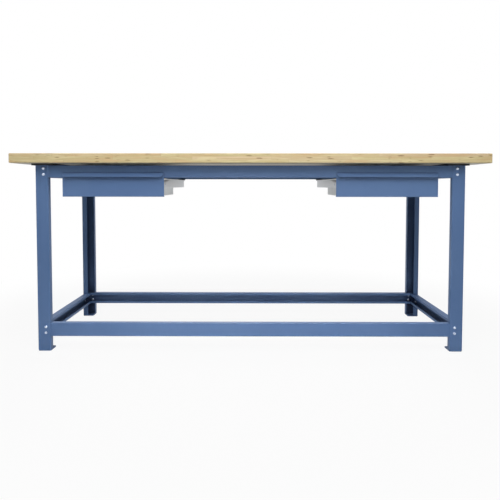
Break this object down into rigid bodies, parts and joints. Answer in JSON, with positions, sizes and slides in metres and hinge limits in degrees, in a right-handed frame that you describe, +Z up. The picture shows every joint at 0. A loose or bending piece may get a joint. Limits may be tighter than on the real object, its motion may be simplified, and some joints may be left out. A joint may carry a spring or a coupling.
{
  "type": "workbench",
  "caption": "Long workbench: laminated timber top on a bolted frame of folded blue steel legs and channel rails, with hanging drawers on roller runners under the front.",
  "frame": {"origin": "on the floor, below the middle of the worktop", "axes": "X along the bench, left to right seen from the front; front (drawers) faces -Y; Z up"},
  "size_m": [2, 0.75, 0.844],
  "materials": {
    "timber": "oiled laminated timber",
    "blue_powder_coat": "satin powder coat",
    "black_paint": "matt black paint",
    "grey_paint": "light grey paint",
    "galvanised_steel": "galvanised",
    "zinc_plate": "bright zinc plate",
    "nylon": "moulded nylon"
  },
  "bodies": {
    "frame": {"worktop": "timber", "bearer_left": "black_paint", "leg_front_left": "blue_powder_coat", "foot_front_left": "blue_powder_coat", "leg_rear_left": "blue_powder_coat", "foot_rear_left": "blue_powder_coat", "bearer_right": "black_paint", "leg_front_right": "blue_powder_coat", "foot_front_right": "blue_powder_coat", "leg_rear_right": "blue_powder_coat", "foot_rear_right": "blue_powder_coat", "top_rail_front": "blue_powder_coat", "top_rail_rear": "blue_powder_coat", "top_rail_left": "blue_powder_coat", "top_rail_right": "blue_powder_coat", "lower_rail_front": "blue_powder_coat", "lower_rail_rear": "blue_powder_coat", "lower_rail_left": "blue_powder_coat", "lower_rail_right": "blue_powder_coat", "fixed_pins_left": "zinc_plate", "hanger_pads_left": "black_paint", "hanger_left_outer": "galvanised_steel", "hanger_left_inner": "galvanised_steel", "fixed_pins_right": "zinc_plate", "hanger_pads_right": "black_paint", "hanger_right_outer": "galvanised_steel", "hanger_right_inner": "galvanised_steel"},
    "drawer_left": {"drawer_front_left": "blue_powder_coat", "drawer_tray_left": "grey_paint", "drawer_back_left": "grey_paint", "runner_left_outer": "galvanised_steel", "runner_left_inner": "galvanised_steel", "tray_pins_left": "zinc_plate"},
    "fixed_roller_left_outer": {"fixed_roller_left_outer": "nylon"},
    "fixed_roller_left_inner": {"fixed_roller_left_inner": "nylon"},
    "tray_roller_left_outer": {"tray_roller_left_outer": "nylon"},
    "tray_roller_left_inner": {"tray_roller_left_inner": "nylon"},
    "drawer_right": {"drawer_front_right": "blue_powder_coat", "drawer_tray_right": "grey_paint", "drawer_back_right": "grey_paint", "runner_right_outer": "galvanised_steel", "runner_right_inner": "galvanised_steel", "tray_pins_right": "zinc_plate"},
    "fixed_roller_right_outer": {"fixed_roller_right_outer": "nylon"},
    "fixed_roller_right_inner": {"fixed_roller_right_inner": "nylon"},
    "tray_roller_right_outer": {"tray_roller_right_outer": "nylon"},
    "tray_roller_right_inner": {"tray_roller_right_inner": "nylon"}
  },
  "joints": [
    {"name": "drawer_left_slide", "type": "slide", "parent": "frame", "child": "drawer_left", "axis": [0, -1, 0], "range_m": [0, 0.37]},
    {"name": "fixed_roller_left_outer_spin", "type": "hinge", "parent": "frame", "child": "fixed_roller_left_outer", "pos_m": [-0.7775, -0.285, 0.7142], "axis": [1, 0, 0], "continuous": true},
    {"name": "fixed_roller_left_inner_spin", "type": "hinge", "parent": "frame", "child": "fixed_roller_left_inner", "pos_m": [-0.3825, -0.285, 0.7142], "axis": [1, 0, 0], "continuous": true},
    {"name": "tray_roller_left_outer_spin", "type": "hinge", "parent": "drawer_left", "child": "tray_roller_left_outer", "pos_m": [-0.7775, 0.11, 0.7128], "axis": [1, 0, 0], "continuous": true},
    {"name": "tray_roller_left_inner_spin", "type": "hinge", "parent": "drawer_left", "child": "tray_roller_left_inner", "pos_m": [-0.3825, 0.11, 0.7128], "axis": [1, 0, 0], "continuous": true},
    {"name": "drawer_right_slide", "type": "slide", "parent": "frame", "child": "drawer_right", "axis": [0, -1, 0], "range_m": [0, 0.37]},
    {"name": "fixed_roller_right_outer_spin", "type": "hinge", "parent": "frame", "child": "fixed_roller_right_outer", "pos_m": [0.7775, -0.285, 0.7142], "axis": [1, 0, 0], "continuous": true},
    {"name": "fixed_roller_right_inner_spin", "type": "hinge", "parent": "frame", "child": "fixed_roller_right_inner", "pos_m": [0.3825, -0.285, 0.7142], "axis": [1, 0, 0], "continuous": true},
    {"name": "tray_roller_right_outer_spin", "type": "hinge", "parent": "drawer_right", "child": "tray_roller_right_outer", "pos_m": [0.7775, 0.11, 0.7128], "axis": [1, 0, 0], "continuous": true},
    {"name": "tray_roller_right_inner_spin", "type": "hinge", "parent": "drawer_right", "child": "tray_roller_right_inner", "pos_m": [0.3825, 0.11, 0.7128], "axis": [1, 0, 0], "continuous": true}
  ]
}
